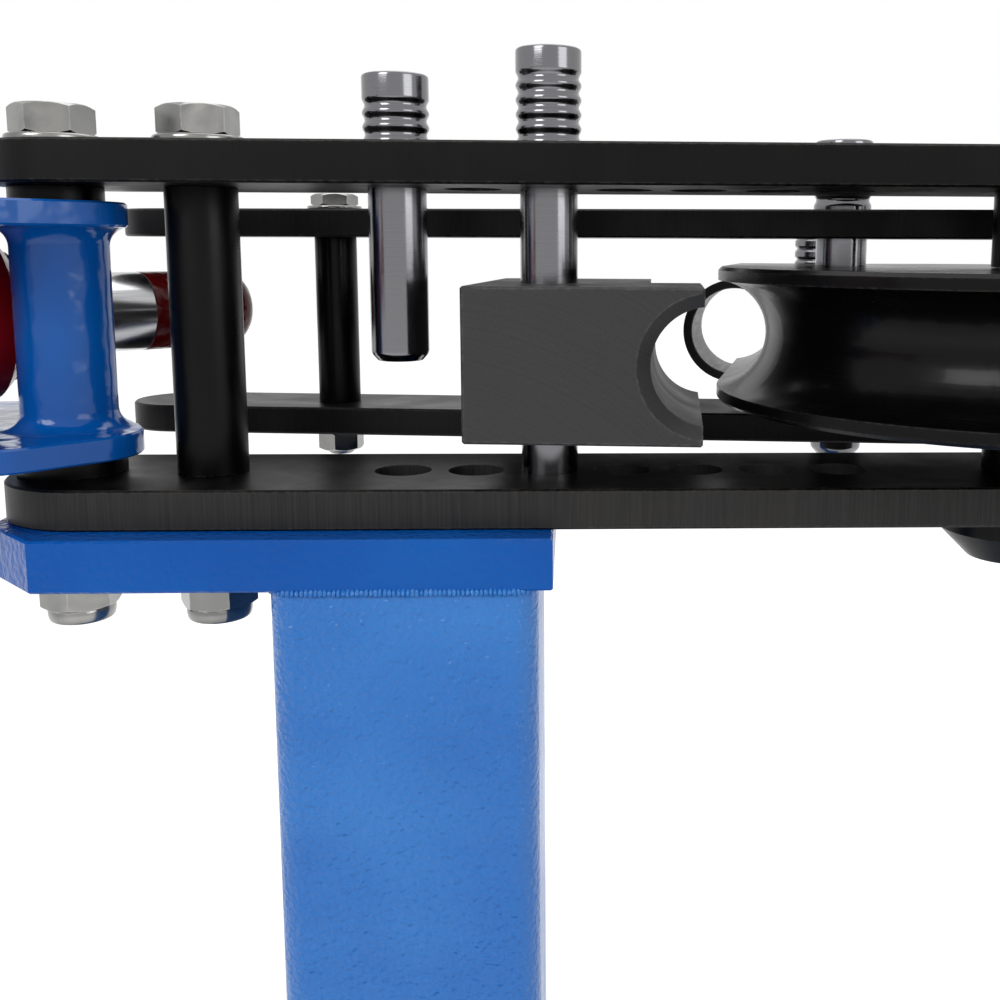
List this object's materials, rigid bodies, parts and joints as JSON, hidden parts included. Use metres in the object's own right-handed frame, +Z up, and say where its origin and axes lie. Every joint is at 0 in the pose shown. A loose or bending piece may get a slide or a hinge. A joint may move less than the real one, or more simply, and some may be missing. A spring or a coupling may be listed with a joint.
{
  "type": "hydraulic tube bender",
  "caption": "Pedestal tube bender with a hydraulic ram in a pivoting yoke, link plates, a round bending die, hook strap and follow block.",
  "frame": {"origin": "on the floor under the column's axis, at the underside of the base plate", "axes": "+Z up, +X along the frame arms toward the bending die, +Y away from the operator"},
  "size_m": [1.2892, 1.0243, 1.3686],
  "materials": {
    "blue_paint": "glossy royal-blue paint with a fine orange peel",
    "red_paint": "glossy dark-red paint",
    "black_steel": "black oxide over milled steel",
    "gloss_black": "turned steel with glossy black paint",
    "polished_steel": "turned and polished steel",
    "zinc": "yellowish zinc plate",
    "chrome": "hard chrome, ground and polished",
    "rubber": "matt black rubber"
  },
  "bodies": {
    "pedestal": {"base_plate": "blue_paint", "base_gussets": "blue_paint", "column": "blue_paint", "head_plate": "blue_paint", "lower_arm": "black_steel", "upper_arm": "black_steel", "frame_bolts": "zinc", "frame_washers": "zinc", "frame_lock_nuts": "zinc", "frame_spacer_tube": "black_steel", "yoke_spacers": "black_steel", "centre_boss": "black_steel", "centre_pin": "polished_steel", "die_bushes": "black_steel"},
    "bend_head": {"lower_link": "black_steel", "upper_link": "black_steel", "link_spacer_tube": "black_steel", "link_bolt": "zinc", "link_nut": "zinc", "link_washers": "zinc", "bending_die": "gloss_black", "die_straight": "gloss_black", "strap_tongue": "black_steel"},
    "near_drive_pin": {"near_drive_pin": "polished_steel"},
    "far_drive_pin": {"far_drive_pin": "polished_steel"},
    "tube_strap": {"tube_strap": "black_steel"},
    "strap_pin": {"strap_pin": "polished_steel"},
    "follow_block": {"follow_block": "black_steel"},
    "follow_pin": {"follow_pin": "polished_steel"},
    "spare_pin": {"spare_pin": "polished_steel"},
    "yoke": {"yoke_lower_plate": "blue_paint", "yoke_upper_plate": "blue_paint", "yoke_barrel": "blue_paint", "yoke_collar": "blue_paint", "ram_cylinder": "red_paint", "ram_gland": "red_paint", "pump_block": "red_paint", "pump_cylinder": "polished_steel", "pump_post": "red_paint", "fulcrum_pin": "polished_steel", "filler_plug": "zinc"},
    "rod": {"ram_rod": "chrome", "ram_piston": "polished_steel", "ram_seal": "rubber", "rod_end": "red_paint", "ram_pin": "polished_steel"},
    "handle": {"handle_cheeks": "red_paint", "handle_socket": "red_paint"},
    "handle_bar": {"pump_handle": "chrome", "handle_grip": "rubber"},
    "plunger": {"pump_plunger": "polished_steel"},
    "valve": {"release_valve": "polished_steel"}
  },
  "joints": [
    {"name": "bend_swing", "type": "hinge", "parent": "pedestal", "child": "bend_head", "pos_m": [0.2495, 0, 0.954], "axis": [0, 0, -1], "range_deg": [0, 30]},
    {"name": "yoke_swing", "type": "hinge", "parent": "pedestal", "child": "yoke", "pos_m": [-0.1398, 0, 0.9589], "axis": [0, 0, 1], "range_deg": [0, 12.8]},
    {"name": "rod_slide", "type": "slide", "parent": "yoke", "child": "rod", "axis": [0.6947, 0.7193, 0], "range_m": [0, 0.2052]},
    {"name": "near_drive_pin_lift", "type": "slide", "parent": "bend_head", "child": "near_drive_pin", "axis": [0, 0, 1], "range_m": [0, 0.13]},
    {"name": "far_drive_pin_lift", "type": "slide", "parent": "bend_head", "child": "far_drive_pin", "axis": [0, 0, 1], "range_m": [0, 0.13]},
    {"name": "strap_swing", "type": "hinge", "parent": "bend_head", "child": "tube_strap", "pos_m": [0.19645, 0.14361, 0.946], "axis": [0, 0, -1], "range_deg": [0, 35]},
    {"name": "strap_pin_lift", "type": "slide", "parent": "bend_head", "child": "strap_pin", "axis": [0, 0, 1], "range_m": [0, 0.08]},
    {"name": "block_swivel", "type": "hinge", "parent": "pedestal", "child": "follow_block", "pos_m": [0.0544, 0, 0.954], "axis": [0, 0, 1], "range_deg": [-4, 5]},
    {"name": "follow_pin_lift", "type": "slide", "parent": "pedestal", "child": "follow_pin", "axis": [0, 0, 1], "range_m": [0, 0.16]},
    {"name": "spare_pin_lift", "type": "slide", "parent": "pedestal", "child": "spare_pin", "axis": [0, 0, 1], "range_m": [0, 0.1]},
    {"name": "handle_swing", "type": "hinge", "parent": "yoke", "child": "handle", "pos_m": [-0.60905, -0.40868, 1.0649], "axis": [-0.7193, 0.6947, 0], "range_deg": [-18, 18]},
    {"name": "handle_pull", "type": "slide", "parent": "handle", "child": "handle_bar", "axis": [-0.5321, -0.551, 0.6428], "range_m": [0, 0.06]},
    {"name": "plunger_slide", "type": "slide", "parent": "yoke", "child": "plunger", "axis": [0, 0, 1], "range_m": [-0.0105, 0.0105]},
    {"name": "valve_turn", "type": "hinge", "parent": "yoke", "child": "valve", "pos_m": [-0.58638, -0.45142, 0.9369], "axis": [0.7193, -0.6947, 0], "range_deg": [0, 90]}
  ],
  "couplings": [
    {"joint": "yoke_swing", "follows": "bend_swing", "ratio": 0.42},
    {"joint": "rod_slide", "follows": "bend_swing", "m_per_rad": 0.39},
    {"joint": "plunger_slide", "follows": "handle_swing", "m_per_rad": 0.033}
  ]
}
